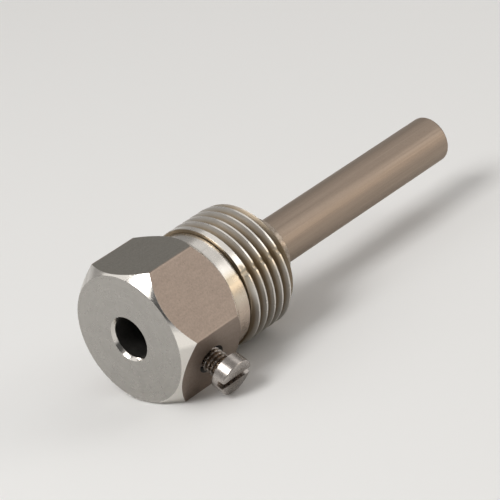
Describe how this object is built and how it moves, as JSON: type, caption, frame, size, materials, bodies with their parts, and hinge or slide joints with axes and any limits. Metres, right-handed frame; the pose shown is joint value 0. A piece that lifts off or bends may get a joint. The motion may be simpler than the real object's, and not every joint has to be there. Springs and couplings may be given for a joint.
{
  "type": "thermowell",
  "caption": "Screw-in pocket for a temperature probe: hexagon head, pipe thread, closed tube and a slotted clamp screw.",
  "frame": {"origin": "on the axis, at the rear face of the hexagon, which seats on the pipe boss", "axes": "+X along the axis towards the closed end of the tube, +Z the normal of one hexagon flat, the clamp screw in the flat that faces -Y and down"},
  "size_m": [0.0735, 0.0282, 0.022],
  "materials": {
    "turned_steel": "satin, turned",
    "drawn_tube": "satin, drawn",
    "screw_steel": "semi-bright"
  },
  "bodies": {
    "well": {"head": "turned_steel", "well_tube": "drawn_tube"},
    "screw": {"clamp_screw": "screw_steel"}
  },
  "joints": [
    {"name": "clamp_screw_travel", "type": "slide", "parent": "well", "child": "screw", "axis": [0, -0.866, -0.5], "range_m": [-0.0029, 0.006]}
  ]
}
